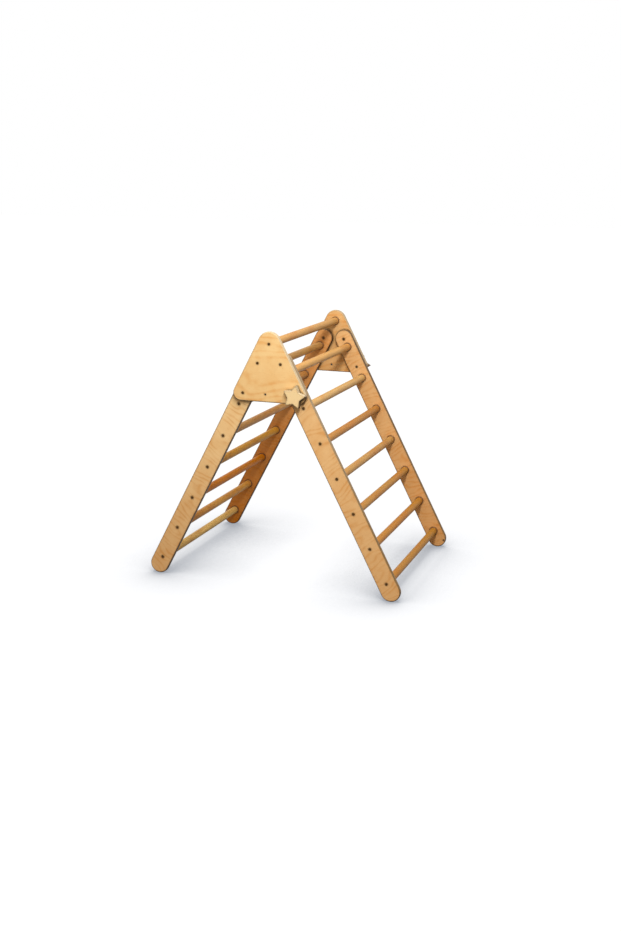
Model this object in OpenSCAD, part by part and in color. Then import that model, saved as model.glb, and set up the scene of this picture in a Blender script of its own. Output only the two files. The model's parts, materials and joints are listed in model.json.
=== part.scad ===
// Folding climbing triangle: two ladders of round rungs between plywood rails.
// One ladder is bolted to two corner plates, the other swings on a bolt in each plate,
// and a star knob on each side locks it open.
// X runs from the fixed ladder's feet to the swing ladder's, Y along the rungs, Z up.
// The origin is on the floor, at the middle of the footprint.

/* [Ladders] */
// Angle between each open ladder and the vertical
lean = 27.4; // [24:0.2:31]
// Distance between rungs, along the ladder
rung_pitch = 135; // [110:1:150]
// Number of rungs on each ladder
rung_count = 7; // [4:1:8]
// Distance from the pivot bolt down to the first rung
first_rung = 34.6; // [26:0.2:45]
// Distance from the last rung down to the centre of the rail's round foot
foot_margin = 31.5; // [18:0.5:60]
// Width over the outer faces of the fixed ladder's rails
frame_width = 698; // [400:1:900]
// Diameter of a rung
rung_d = 28; // [18:0.5:32]
// Depth to which a rung's end sits in its socket
socket_depth = 8; // [5:0.5:11]

/* [Rails] */
// Width of a rail's face
rail_width = 72; // [50:1:74]
// Thickness of a rail's plywood
rail_ply = 18; // [15:1:24]
// Radius of the rounded edges of the rails and plates
edge_round = 5; // [1:0.5:6]
// Diameter of the small hole near the far swing foot
foot_hole_d = 5; // [3:0.5:8]
// Depth of that hole
foot_hole_depth = 10; // [4:1:14]
// Distance of that hole from the edge of the foot
foot_hole_edge = 8; // [6:0.5:14]

/* [Corner plates] */
// Thickness of a plate's plywood
plate_ply = 18; // [15:1:24]
// Distance between the two upper bolts, one at the top of each ladder
pivot_gap = 84.6; // [82:0.2:110]
// Distance along a ladder from its upper bolt to its lower bolt or lock
lock_reach = 120.7; // [95:0.1:150]
// Height of the top rung above the upper bolts
top_rung_rise = 68; // [55:1:72]
// Distance from a ladder's line of bolts out to the plate's slanting edge
plate_edge = 36; // [28:0.5:40]
// Distance from the lower bolts down to the plate's bottom edge
plate_foot = 28; // [20:0.5:34]
// Radius of the plate's top corner
plate_top_r = 42; // [22:0.5:44]
// Radius of the plate's two bottom corners
plate_corner_r = 28; // [15:0.5:34]

/* [Bolts and screws] */
// Diameter of the heads of the bolts, sleeve nuts and screws
head_d = 9.5; // [8.5:0.1:13]
// Height of those heads
head_h = 3; // [2.5:0.1:4]
// Depth of the heads below the surface of the wood
head_sunk = 0.8; // [0.2:0.1:1.5]
// Width across the flats of the hexagon sockets
hex_flats = 5; // [3:0.5:6]
// Diameter of the bolts that hold the plates
bolt_d = 6; // [4:0.5:6.5]
// Outer diameter of the sleeve nuts and of the barrels that the swing ladder turns on
sleeve_d = 8; // [7:0.1:8.2]
// Length of a sleeve nut that lies in the plate
sleeve_in_plate = 8; // [4:0.5:10]
// Diameter of the screws that hold the rungs
screw_d = 6; // [4:0.5:7]
// Length of the screws that hold the rungs
screw_len = 50; // [35:1:70]

/* [Lock knobs] */
// Distance from a star's centre to its points
star_r = 43; // [34:0.5:50]
// Distance from a star's centre to its inner corners
star_waist_r = 24; // [18:0.5:30]
// Thickness of a star
star_ply = 18; // [15:0.5:24]
// Radius of a star's rounded edges
star_round = 2; // [1:0.5:3]
// Angle at which the near star stands once it is tightened
near_star_turn = 11; // [0:1:71]
// Angle at which the far star stands once it is tightened
far_star_turn = 18; // [0:1:71]
// Diameter of the threaded stud
stud_d = 6; // [5:0.5:8]
// Length of the stud that is glued into the star
stud_in_star = 12; // [8:0.5:14]
// Outer diameter of the washer under the star
washer_d = 18; // [14:0.5:30]
// Thickness of that washer
washer_h = 1.6; // [1:0.1:3]
// Outer diameter of the threaded insert in the swing rail
insert_d = 10; // [9.5:0.5:14]
// Length of that insert
insert_len = 13; // [8:0.5:14]

/* [Fits] */
// Gap between each corner plate and the swing ladder's rail
side_play = 0.8; // [0.5:0.1:2]
// Outer diameter of the slip washer in that gap
slip_d = 24; // [18:0.5:40]
// Radial clearance of the swing rail on its barrel
running_fit = 0.05; // [0.02:0.01:0.1]
// Radial clearance of what is pushed or screwed into wood
push_fit = 0.1; // [0.05:0.05:0.3]
// Radial clearance of a bolt's shank in the hole that it passes through
hole_fit = 0.3; // [0.2:0.1:1]
// Gap left between flat faces that slide or turn on each other
face_fit = 0.05; // [0.02:0.01:0.2]
// Radial clearance of the stud in the plate's holes
stud_fit = 0.3; // [0.2:0.1:1]
// Distance by which the stud stops short of the plate's inner face
stud_short = 0.5; // [0.2:0.1:4]

/* [Hidden] */
$fn = 48;
SWING = 1;
FIXED = -1;
rail_len = first_rung + (rung_count - 1) * rung_pitch + foot_margin;
pivot_h = rail_len * cos(lean) + rail_width / 2;
half_width = frame_width / 2;
half_outer = half_width + plate_ply;
swing_half_width = half_width - side_play;
fold_angle = 2 * lean;

// Places on the plates, from the middle between the upper bolts: x and height
upper_bolt = [pivot_gap / 2, 0];
lower_bolt = upper_bolt + lock_reach * [sin(lean), -cos(lean)];
// The lock's place once the swing ladder has turned about its bolt until it lies along the fixed one
folded_lock = upper_bolt + lock_reach * [sin(lean - fold_angle), -cos(lean - fold_angle)];
edge_normal = [cos(lean), sin(lean)];
plate_floor = lower_bolt[1] - plate_foot;
// The slanting edges would meet at this height
plate_apex = (upper_bolt * edge_normal + plate_edge) / sin(lean);
top_corner = [0, plate_apex - plate_top_r / sin(lean)];
// A bottom corner's centre lies one radius inside the bottom edge and the slanting edge
bottom_corner_z = plate_floor + plate_corner_r;
bottom_corner_x = (plate_apex * sin(lean) - plate_corner_r - bottom_corner_z * sin(lean)) / cos(lean);
bottom_corner = [bottom_corner_x, bottom_corner_z];

head_hole_d = head_d + 2 * hole_fit;
head_hole_h = head_sunk + head_h;
hex_depth = 0.8 * head_h;
screw_tip = 5;
bolt_tip_gap = 5;
sleeve_wall_end = 4;
stud_hole_d = stud_d + 2 * stud_fit;
stud_len = stud_in_star + washer_h + 2 * face_fit + plate_ply - stud_short;
stud_chamfer = 1;
rung_chamfer = 1;
overcut = 1;
// Sides of the ball that rounds the star's edges
ball_sides = 24;

FINISH_PLATE = "#e6bd7a";
FINISH_RAIL = "#dba660";
FINISH_RUNG = "#c99a5e";
FINISH_STAR = "#ecca90";
FINISH_STEEL = "#3a2a1e";

// ---- Frames of reference ----

// X runs down the ladder from its upper bolt, Y along the rungs
module on_ladder(ladder) {
    translate([ladder * pivot_gap / 2, 0, pivot_h])
        rotate([0, 90 - ladder * lean, 0])
            children();
}

// A near rail's face: X down the rail, Z from its outer face inwards
module on_near_face(ladder, half) {
    on_ladder(ladder)
        translate([0, -half, 0])
            rotate([-90, 0, 0])
                children();
}

// The near plate's outer face: X across, -Y up from the upper bolts, Z inwards
module on_near_plate(depth = 0) {
    translate([0, depth - half_outer, pivot_h])
        rotate([-90, 0, 0])
            children();
}

// A place on the near plate, given from the middle between the upper bolts
module at_plate(place, depth = 0) {
    on_near_plate(depth)
        translate([place[0], -place[1], 0])
            children();
}

module to_far_side() {
    mirror([0, 1, 0])
        children();
}

module on_both_sides() {
    children();
    to_far_side()
        children();
}

function rung_x(number) = first_rung + (number - 1) * rung_pitch;

// ---- Plywood forms with rounded edges ----

// Half of a board's section: from its middle out to the rounded edge
module half_section(reach, ply, r) {
    square([reach - r, ply]);
    translate([0, r])
        square([reach, ply - 2 * r]);
    for (z = [r, ply - r])
        translate([reach - r, z])
            circle(r);
}

// A round end of a board
module round_end(r_end, ply, r, from, turn) {
    rotate([0, 0, from])
        rotate_extrude(angle = turn)
            half_section(r_end, ply, r);
}

// A board along X with straight sides
module straight_board(length, width, ply, r) {
    rotate([90, 0, 90])
        linear_extrude(length) {
            half_section(width / 2, ply, r);
            mirror([1, 0])
                half_section(width / 2, ply, r);
        }
}

// The plate, with its height along -Y: stretched around its three round corners
module plate_board() {
    hull()
        for (corner = [[top_corner, plate_top_r],
                       [bottom_corner, plate_corner_r],
                       [[-bottom_corner[0], bottom_corner[1]], plate_corner_r]])
            translate([corner[0][0], -corner[0][1], 0])
                round_end(corner[1], plate_ply, edge_round, 0, 360);
}

// ---- Holes ----

// A through hole with a counterbore for a head at Z = 0
module headed_hole(shank_d, depth) {
    translate([0, 0, -overcut])
        cylinder(d = shank_d, h = depth + 2 * overcut);
    translate([0, 0, -overcut])
        cylinder(d = head_hole_d, h = head_hole_h + overcut);
}

// A blind socket for a rung's end, from the inner face of a board
module rung_socket(ply) {
    translate([0, 0, ply - socket_depth])
        cylinder(d = rung_d + 2 * push_fit, h = socket_depth + overcut);
}

// ---- Plates ----

module corner_plate() {
    color(FINISH_PLATE)
        difference() {
            on_near_plate()
                plate_board();
            at_plate([0, top_rung_rise]) {
                headed_hole(screw_d + 2 * hole_fit, plate_ply);
                rung_socket(plate_ply);
            }
            for (place = [upper_bolt, [-upper_bolt[0], 0], [-lower_bolt[0], lower_bolt[1]]])
                at_plate(place) {
                    headed_hole(bolt_d + 2 * hole_fit, plate_ply);
                    translate([0, 0, plate_ply - sleeve_in_plate - overcut])
                        cylinder(d = sleeve_d + 2 * push_fit, h = sleeve_in_plate + 2 * overcut);
                }
            for (place = [lower_bolt, folded_lock])
                at_plate(place, -overcut)
                    cylinder(d = stud_hole_d, h = plate_ply + 2 * overcut);
        }
}

// ---- Rails ----

module rail_board() {
    straight_board(rail_len, rail_width, rail_ply, edge_round);
    round_end(rail_width / 2, rail_ply, edge_round, 90, 180);
    translate([rail_len, 0, 0])
        round_end(rail_width / 2, rail_ply, edge_round, -90, 180);
}

module rung_holes() {
    for (i = [1:rung_count])
        translate([rung_x(i), 0, 0]) {
            headed_hole(screw_d + 2 * hole_fit, rail_ply);
            rung_socket(rail_ply);
        }
}

// A bore through the rail, with a counterbore for the head of what comes from the inner face
module sleeve_hole(fit) {
    translate([0, 0, -overcut])
        cylinder(d = sleeve_d + 2 * fit, h = rail_ply + 2 * overcut);
    translate([0, 0, rail_ply - head_hole_h])
        cylinder(d = head_hole_d, h = head_hole_h + overcut);
}

module fixed_rail() {
    color(FINISH_RAIL)
        on_near_face(FIXED, half_width)
            difference() {
                rail_board();
                rung_holes();
                for (x = [0, lock_reach])
                    translate([x, 0, 0])
                        sleeve_hole(push_fit);
            }
}

module swing_rail() {
    color(FINISH_RAIL)
        on_near_face(SWING, swing_half_width)
            difference() {
                rail_board();
                rung_holes();
                sleeve_hole(running_fit);
                translate([lock_reach, 0, -overcut]) {
                    cylinder(d = stud_hole_d, h = rail_ply + 2 * overcut);
                    cylinder(d = insert_d + 2 * push_fit, h = insert_len + overcut);
                }
            }
}

module far_swing_rail() {
    color(FINISH_RAIL)
        difference() {
            to_far_side()
                swing_rail();
            // The small blind hole in the inner face, close to the edge of the foot
            on_ladder(SWING)
                translate([rail_len + rail_width / 4, swing_half_width - rail_ply, foot_hole_z()])
                    rotate([-90, 0, 0])
                        translate([0, 0, -overcut])
                            cylinder(d = foot_hole_d, h = foot_hole_depth + overcut);
        }
}

// Height of the foot hole above the rail's middle line, at a quarter of the rail's width past its end
function foot_hole_z() =
    sqrt(pow(rail_width / 2 - foot_hole_edge, 2) - pow(rail_width / 4, 2));

// ---- Rungs ----

// A dowel along Y, pilot-drilled for a screw at each end
module dowel(length) {
    pilot = screw_len - (rail_ply - socket_depth - head_sunk) + overcut;
    color(FINISH_RUNG)
        rotate([90, 0, 0])
            difference() {
                rotate_extrude()
                    polygon([
                        [0, -length / 2],
                        [rung_d / 2 - rung_chamfer, -length / 2],
                        [rung_d / 2, rung_chamfer - length / 2],
                        [rung_d / 2, length / 2 - rung_chamfer],
                        [rung_d / 2 - rung_chamfer, length / 2],
                        [0, length / 2]
                    ]);
                for (end = [0, 1])
                    mirror([0, 0, end])
                        translate([0, 0, length / 2 - pilot])
                            cylinder(d = screw_d + 2 * push_fit, h = pilot + overcut);
            }
}

module ladder_rung(ladder, number) {
    half = ladder == SWING ? swing_half_width : half_width;
    if (number <= rung_count)
        on_ladder(ladder)
            translate([rung_x(number), 0, 0])
                dowel(2 * (half - rail_ply + socket_depth));
}

module top_rung() {
    translate([0, 0, pivot_h + top_rung_rise])
        dowel(2 * (half_width + socket_depth));
}

// ---- Bolts and screws, each along Z from its head's outer face ----

module socket_head() {
    difference() {
        cylinder(d = head_d, h = head_h);
        translate([0, 0, -overcut])
            cylinder(d = hex_flats / cos(30), h = hex_depth + overcut, $fn = 6);
    }
}

module rung_screw() {
    color(FINISH_STEEL)
        translate([0, 0, head_sunk]) {
            socket_head();
            translate([0, 0, hex_depth + 0.1])
                cylinder(d = screw_d, h = screw_len - screw_tip - hex_depth - 0.1);
            translate([0, 0, screw_len - screw_tip])
                cylinder(d1 = screw_d, d2 = screw_d / 3, h = screw_tip);
        }
}

stack = plate_ply + rail_ply;
sleeve_len = rail_ply + sleeve_in_plate - head_sunk;
bolt_len = stack - 2 * head_sunk - hex_depth - bolt_tip_gap;

module plate_bolt() {
    color(FINISH_STEEL)
        translate([0, 0, head_sunk]) {
            socket_head();
            translate([0, 0, hex_depth + 0.1])
                cylinder(d = bolt_d, h = bolt_len - hex_depth - 0.1);
        }
}

// Comes from the rail's inner face and takes the bolt in its bore
module sleeve_nut(rail_shift) {
    color(FINISH_STEEL)
        translate([0, 0, stack + rail_shift - head_sunk])
            mirror([0, 0, 1]) {
                difference() {
                    union() {
                        socket_head();
                        translate([0, 0, hex_depth + 0.1])
                            cylinder(d = sleeve_d, h = sleeve_len + rail_shift - hex_depth - 0.1);
                    }
                    translate([0, 0, sleeve_wall_end])
                        cylinder(d = bolt_d + 2 * push_fit, h = sleeve_len + rail_shift);
                }
            }
}

module ladder_screws(ladder) {
    half = ladder == SWING ? swing_half_width : half_width;
    for (i = [1:rung_count])
        on_near_face(ladder, half)
            translate([rung_x(i), 0, 0])
                rung_screw();
}

module top_rung_screws() {
    on_both_sides()
        at_plate([0, top_rung_rise])
            rung_screw();
}

module plate_bolts() {
    on_both_sides()
        for (place = [[-upper_bolt[0], 0], [-lower_bolt[0], lower_bolt[1]]])
            at_plate(place)
                plate_bolt();
}

module plate_sleeve_nuts() {
    on_both_sides()
        for (place = [[-upper_bolt[0], 0], [-lower_bolt[0], lower_bolt[1]]])
            at_plate(place)
                sleeve_nut(0);
}

module pivot_bolts() {
    on_both_sides()
        at_plate(upper_bolt)
            plate_bolt();
}

module pivot_barrels() {
    on_both_sides()
        at_plate(upper_bolt)
            sleeve_nut(side_play);
}

module slip_washers() {
    color("#d8d2c4")
        on_both_sides()
            at_plate(upper_bolt, plate_ply)
                difference() {
                    cylinder(d = slip_d, h = side_play - face_fit);
                    translate([0, 0, -overcut])
                        cylinder(d = sleeve_d + 2 * push_fit, h = side_play + 2 * overcut);
                }
}

// ---- Lock ----

module lock_inserts() {
    color("#b08d4a")
        on_both_sides()
            on_near_face(SWING, swing_half_width)
                translate([lock_reach, 0, 0])
                    difference() {
                        cylinder(d = insert_d, h = insert_len);
                        translate([0, 0, -overcut])
                            cylinder(d = stud_d + 2 * push_fit, h = insert_len + 2 * overcut);
                    }
}

module lock_washer() {
    color("#8d8f92")
        at_plate(lower_bolt, -face_fit - washer_h)
            difference() {
                cylinder(d = washer_d, h = washer_h);
                translate([0, 0, -overcut])
                    cylinder(d = stud_hole_d, h = washer_h + 2 * overcut);
            }
}

// Points and inner corners in turn, with a point along X
module star_outline() {
    polygon([for (i = [0:9])
        (i % 2 == 0 ? star_r : star_waist_r) * [cos(36 * i), sin(36 * i)]]);
}

// A ball run around the outline leaves the edges rounded and the points blunt
module star_board() {
    translate([0, 0, star_round])
        minkowski() {
            linear_extrude(star_ply - 2 * star_round)
                offset(delta = -star_round)
                    star_outline();
            sphere(r = star_round / cos(180 / ball_sides), $fn = ball_sides);
        }
}

module star_knob(turn) {
    color(FINISH_STAR)
        at_plate(lower_bolt, -2 * face_fit - washer_h - star_ply)
            rotate([0, 0, turn - 90])
                difference() {
                    star_board();
                    translate([0, 0, star_ply - stud_in_star])
                        cylinder(d = stud_d + 2 * push_fit, h = stud_in_star + overcut);
                }
}

module lock_stud() {
    color("#8d8f92")
        at_plate(lower_bolt, plate_ply - stud_short - stud_len)
            rotate_extrude()
                polygon([
                    [0, 0],
                    [stud_d / 2 - stud_chamfer, 0],
                    [stud_d / 2, stud_chamfer],
                    [stud_d / 2, stud_len - stud_chamfer],
                    [stud_d / 2 - stud_chamfer, stud_len],
                    [0, stud_len]
                ]);
}

corner_plate();  // near_plate
to_far_side() corner_plate();  // far_plate
fixed_rail();  // near_fixed_rail
to_far_side() fixed_rail();  // far_fixed_rail
ladder_rung(FIXED, 1);  // fixed_rung_1
ladder_rung(FIXED, 2);  // fixed_rung_2
ladder_rung(FIXED, 3);  // fixed_rung_3
ladder_rung(FIXED, 4);  // fixed_rung_4
ladder_rung(FIXED, 5);  // fixed_rung_5
ladder_rung(FIXED, 6);  // fixed_rung_6
ladder_rung(FIXED, 7);  // fixed_rung_7
top_rung();
ladder_screws(FIXED);  // near_fixed_rung_screws
to_far_side() ladder_screws(FIXED);  // far_fixed_rung_screws
top_rung_screws();
plate_bolts();
plate_sleeve_nuts();
pivot_bolts();
pivot_barrels();
slip_washers();
swing_rail();  // near_swing_rail
far_swing_rail();
ladder_rung(SWING, 1);  // swing_rung_1
ladder_rung(SWING, 2);  // swing_rung_2
ladder_rung(SWING, 3);  // swing_rung_3
ladder_rung(SWING, 4);  // swing_rung_4
ladder_rung(SWING, 5);  // swing_rung_5
ladder_rung(SWING, 6);  // swing_rung_6
ladder_rung(SWING, 7);  // swing_rung_7
ladder_screws(SWING);  // near_swing_rung_screws
to_far_side() ladder_screws(SWING);  // far_swing_rung_screws
lock_inserts();
lock_washer();  // near_lock_washer
star_knob(near_star_turn);  // near_star_knob
lock_stud();  // near_lock_stud
to_far_side() lock_washer();  // far_lock_washer
to_far_side() star_knob(far_star_turn);  // far_star_knob
to_far_side() lock_stud();  // far_lock_stud
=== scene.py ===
"""Folding climbing triangle: its finishes, glue beads, light and camera.

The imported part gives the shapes. Each board, dowel and fitting gets a procedural
material here, and small beads of dried glue are added where the rungs enter the wood.
Lengths are in metres, and the part stands on the floor at a height of 0.
"""

import json
import math

import bpy
import numpy as np
from mathutils import Matrix, Vector


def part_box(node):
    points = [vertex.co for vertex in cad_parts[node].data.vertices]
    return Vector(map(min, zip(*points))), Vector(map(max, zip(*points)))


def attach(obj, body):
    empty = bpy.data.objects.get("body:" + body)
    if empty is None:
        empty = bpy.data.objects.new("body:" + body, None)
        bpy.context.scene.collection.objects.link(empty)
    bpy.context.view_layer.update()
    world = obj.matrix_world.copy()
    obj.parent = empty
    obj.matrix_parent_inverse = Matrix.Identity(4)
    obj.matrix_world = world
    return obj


bl_info = {
    "name": "Folding climbing triangle",
    "version": (1, 0, 0),
    "blender": (4, 5, 0),
    "location": "View3D > Sidebar > Climbing triangle",
    "description": "Finishes, glue beads, light and camera of a folding climbing triangle",
    "category": "Object",
}

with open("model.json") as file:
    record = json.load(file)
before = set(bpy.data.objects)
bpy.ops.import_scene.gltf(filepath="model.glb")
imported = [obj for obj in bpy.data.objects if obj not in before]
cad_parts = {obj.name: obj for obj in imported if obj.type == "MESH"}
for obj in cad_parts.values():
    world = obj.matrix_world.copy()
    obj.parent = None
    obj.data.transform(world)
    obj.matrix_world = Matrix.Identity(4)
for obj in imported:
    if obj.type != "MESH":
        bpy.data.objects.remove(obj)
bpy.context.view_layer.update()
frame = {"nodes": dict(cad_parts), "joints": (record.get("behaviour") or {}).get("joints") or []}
nodes = frame["nodes"]

FOLD = next(j for j in frame["joints"] if j["name"] == "fold")
PIVOT = Vector(FOLD["pos_m"])
LEAN = math.radians(FOLD["range_deg"][1]) / 2
RUNGS = range(1, 8)

# Each board: the turn of its grain in degrees, how deep its own tone is at its top and at
# its bottom, where 1 is deep and below 0 is paler than the plain wood, and how brown its
# outline and upper edges are. Part of this is painted shade: the far boards are deeper, as
# in the shade of the near ones, the boards deepen towards the floor where less light
# reaches, and the brown on outlines and edges is painted shade.
RAILS = {
    "near_fixed_rail": (12.0, -0.55, 0.25, 0.9),
    "far_fixed_rail": (-8.0, 0.7, 1.2, 0.9),
    "near_swing_rail": (-10.0, 0.05, 0.25, 0.55),
    "far_swing_rail": (6.0, 0.15, 0.6, 0.95),
}
PLATES = {"near_plate": (4.0, -0.05, 0.05, 0.0), "far_plate": (-3.0, 0.35, 0.45, 0.15)}
STARS = {"near_star_knob": (20.0, -0.05, 0.0, 0.0), "far_star_knob": (-35.0, 0.9, 0.9, 0.8)}
# The tone of each rung's wood, from the top of a ladder down. Besides the wood's own
# differences, part of the change from rung to rung is painted light and shade: the lowest
# fixed rung, clear of the near rail's shade, is palest, and the swing rungs mostly darken
# towards the floor
RUNG_TONES = {
    "fixed": ("#d5a764", "#d5a764", "#d6a562", "#daa13a", "#d1800b", "#daa14a", "#e9c272"),
    "swing": ("#d5a45f", "#d0a768", "#b9823d", "#c29553", "#b8853b", "#b87e2d", "#b17c2d"),
}
TOP_RUNG_TONE = "#cb9b5a"
BRONZED_NODES = (
    "near_fixed_rung_screws",
    "far_fixed_rung_screws",
    "top_rung_screws",
    "near_swing_rung_screws",
    "far_swing_rung_screws",
    "plate_bolts",
    "plate_sleeve_nuts",
    "pivot_bolts",
    "pivot_barrels",
)
ZINC_NODES = ("near_lock_washer", "far_lock_washer", "near_lock_stud", "far_lock_stud")

# How the nodes of a material are set. A Map Range node takes its value as 0, the ends of
# the range it comes from as 1 and 2, and the ends of the range it goes to as 3 and 4
COLOURS = {"data_type": "RGBA"}
TIMES = {"operation": "MULTIPLY"}
TIMES_PLUS = {"operation": "MULTIPLY_ADD"}
CLAMPED_TIMES_PLUS = {"operation": "MULTIPLY_ADD", "use_clamp": True}
POSITIVE = {"operation": "ABSOLUTE"}
LARGER = {"operation": "MAXIMUM"}
SOFT = {"interpolation_type": "SMOOTHSTEP"}
TURNED = {"vector_type": "TEXTURE"}
# Sockets of a Mix node: how much of the second, then two numbers or two colours; and the
# output that holds the colour
SHARE, FIRST_NUMBER, SECOND_NUMBER, FIRST, SECOND = 0, 2, 3, 6, 7
MIXED = 2

FULL_TURN = 2 * math.pi
WHITE = "#ffffff"


def linear(hex_colour):
    """An sRGB hex colour as linear red, green, blue and alpha."""
    srgb = np.array([int(hex_colour[i : i + 2], 16) / 255 for i in (1, 3, 5)])
    rgb = np.where(srgb <= 0.04045, srgb / 12.92, ((srgb + 0.055) / 1.055) ** 2.4)
    return (*(float(v) for v in rgb), 1.0)


def blend(first, second, amount):
    """A colour between two linear ones."""
    return tuple(a + (b - a) * amount for a, b in zip(first, second))


def dimmed(tone, amount):
    """A linear colour with its light scaled by an amount."""
    return tuple(v * amount for v in tone[:3]) + (1.0,)


def colour(name, description, hex_colour):
    return bpy.props.FloatVectorProperty(
        name=name, description=description, subtype="COLOR", size=4, min=0, max=1,
        default=linear(hex_colour),
    )


def length(name, description, metres):
    return bpy.props.FloatProperty(
        name=name, description=description, unit="LENGTH", subtype="DISTANCE", min=0,
        precision=5, default=metres,
    )


def share(name, description, value, top=1.0):
    return bpy.props.FloatProperty(
        name=name, description=description, subtype="FACTOR", min=0, max=top, default=value
    )


def degrees(name, description, value):
    return bpy.props.FloatProperty(
        name=name, description=description, subtype="ANGLE", default=math.radians(value)
    )


def power(name, description, watts):
    return bpy.props.FloatProperty(
        name=name, description=description, unit="POWER", min=0, default=watts
    )


class PlywoodSettings(bpy.types.PropertyGroup):
    plate_pale: colour("Plate, pale wood", "Early wood on the corner plates", "#fbd596")
    plate_amber: colour("Plate, amber wood", "Late wood on the corner plates", "#edb269")
    rail_pale: colour("Rail, pale wood", "Early wood on the rails", "#fbcf92")
    rail_amber: colour("Rail, amber wood", "Late wood on the rails", "#e9ad68")
    star_pale: colour("Star, pale wood", "Early wood on the star knobs", "#fadda6")
    star_amber: colour("Star, amber wood", "Late wood on the star knobs", "#f6d097")
    deep: colour("Deep tone", "Colour that the darker boards lean to", "#d27a08")
    # Painted light and shade on the edges: the Edge colour, painted pale, where they face up, and
    # the Lower edge colour, painted dark shade, where they face down
    edge: colour("Edge", "Sanded edge, rubbed pale where it faces up", "#ecdcb8")
    # Edges turn to this colour towards the floor
    low_down: colour("Edge near the floor", "The same, browned by shoes and hands", "#7d663e")
    underside_shade: colour(
        "Lower edge", "Edge that faces down, where lacquer ran and dried brown", "#341e0a"
    )
    # Painted shade: the next two set a dark line along outlines and around holes
    outline_shade: share("Scorch", "Strength of the line that the cutter burnt along outlines", 0.85)
    outline_shade_width: length("Scorch width", "How far in from the edge the line reaches", 0.006)
    end_grain: colour("End grain", "Cut fibre ends in every second ply", "#8a6334")
    glue_line: colour("Glue line", "Dark line between two plies", "#4a2f14")
    fleck: colour("Fleck", "Short brown marks in the face veneer", "#a8682e")
    # Painted shade in holes, joints and gaps
    corner: colour("Corners", "Lacquer and dust in holes, joints and gaps", "#281606")
    ply: length("Ply", "Thickness of one ply: 13 in an 18 mm board", 0.018 / 13)
    figure: length("Figure", "Usual distance between lines of late wood on a plate", 0.040625)
    rail_figure: length("Rail figure", "The same on the rails and stars", 0.025)
    fibre: length("Fibre", "Width of a streak of fibres, drawn coarse so that it shows", 0.0026)
    patch: length("Patch", "Size of a patch of amber wood", 0.045)
    roughness: share("Roughness", "Roughness of the wood under its lacquer", 0.5)
    sheen: share("Sheen", "How much the rubbed-in lacquer mirrors", 0.2)
    lacquer: share("Lacquer", "Strength of the satin lacquer over the wood", 0.06)
    satin: share("Satin", "Roughness of the lacquer itself", 0.3)


class DowelSettings(bpy.types.PropertyGroup):
    streaks: share("Streaks", "How far early and late wood differ from a rung's tone", 0.1)
    orange: colour("Orange wood", "Patches of deeper wood along a rung", "#b86c1c")
    fleck: colour("Fleck", "Short brown rays in the beech", "#94602d")
    # Painted shade where a rung enters a board
    corner: colour("Corners", "Lacquer and dust where a rung enters a board", "#5e3a16")
    ring: length("Ring", "Distance between two growth rings", 0.006)
    fibre: length("Fibre", "Width of a streak of fibres, drawn coarse so that it shows", 0.002)
    ray: length("Ray", "Length of a short brown ray, drawn coarse so that it shows", 0.004)
    roughness: share("Roughness", "Roughness of the wood under its lacquer", 0.5)
    sheen: share("Sheen", "How much the rubbed-in lacquer mirrors", 0.15)
    lacquer: share("Lacquer", "Strength of the satin lacquer over the wood", 0.04)
    satin: share("Satin", "Roughness of the lacquer itself", 0.28)
    bead: length("Glue bead", "Size of the bead of dried glue around a rung", 0.0022)
    # The bead's brown is partly glue and partly painted shade where the rung meets the board
    bead_and_joint_shade_colour: colour("Glue bead colour", "Dried glue under the lacquer", "#7a4a1c")


class FittingSettings(bpy.types.PropertyGroup):
    bronzed: colour("Bronzed steel", "Screws, bolts and sleeve nuts", "#5c4222")
    worn: colour("Worn steel", "Steel that shows where the bronzing is rubbed", "#8d7c6a")
    zinc: colour("Zinc", "Lock studs and their washers", "#c3c6c9")
    dull_zinc: colour("Dull zinc", "Spots on the zinc that have dulled", "#9da1a6")
    brass: colour("Brass", "Threaded inserts of the swing rails", "#d9b36a")
    dull_brass: colour("Dull brass", "Spots on the brass that have dulled", "#b98f48")
    nylon: colour("Nylon", "Slip washers between plate and rail", "#e4e0d2")
    pitch: length("Turning marks", "Distance between two marks of the lathe", 0.0005)


class StageSettings(bpy.types.PropertyGroup):
    floor: colour("Floor", "Colour of the floor as it lights the object", "#595b5e")
    lift: colour("Lift", "Light that is added to the floor's look", "#f7f8fa")
    contact: colour("Contact shadow", "The lift where something stands on the floor", "#a0a5ad")
    contact_reach: length(
        "Contact reach", "Height up to which things darken the floor below", 0.34
    )
    bright_from: length("Shadows fade from", "Distance from the middle of the floor", 1.0)
    bright_to: length("Shadows end at", "Distance from the middle of the floor", 1.8)
    azimuth: degrees("Azimuth", "Camera's direction round the object", 19.549)
    elevation: degrees("Elevation", "Camera's height above the horizon", 13.858)
    roll: degrees("Roll", "Turn of the camera about its own axis", 0.438)
    distance: length("Distance", "From the camera to its target", 4.512)
    target_x: length("Target, across", "Place that the camera looks at", 0.0243)
    target_drop: length(
        "Target, drop", "Height of the pivots above the place that it looks at", 0.4409
    )
    lens: bpy.props.FloatProperty(
        name="Lens", description="Focal length for a 36 mm sensor", unit="CAMERA", default=45.974
    )
    key: power("Key lamp", "Its power", 41)
    top: power("Top lamp", "Its power", 24)
    sky: share("Sky", "Strength of the even light from all sides", 0.53, 2.0)
    sky_tint: colour(
        "Sky tint", "Colour of the even light, warm from the room's wood", "#ffecd6"
    )


def add(tree, kind, settings=None, inputs=None):
    """Adds a node; an input's value is another node's socket, or a constant."""
    node = tree.nodes.new(kind)
    for name, value in (settings or {}).items():
        setattr(node, name, value)
    for name, value in (inputs or {}).items():
        if isinstance(value, bpy.types.NodeSocket):
            tree.links.new(value, node.inputs[name])
        else:
            node.inputs[name].default_value = value
    return node


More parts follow.
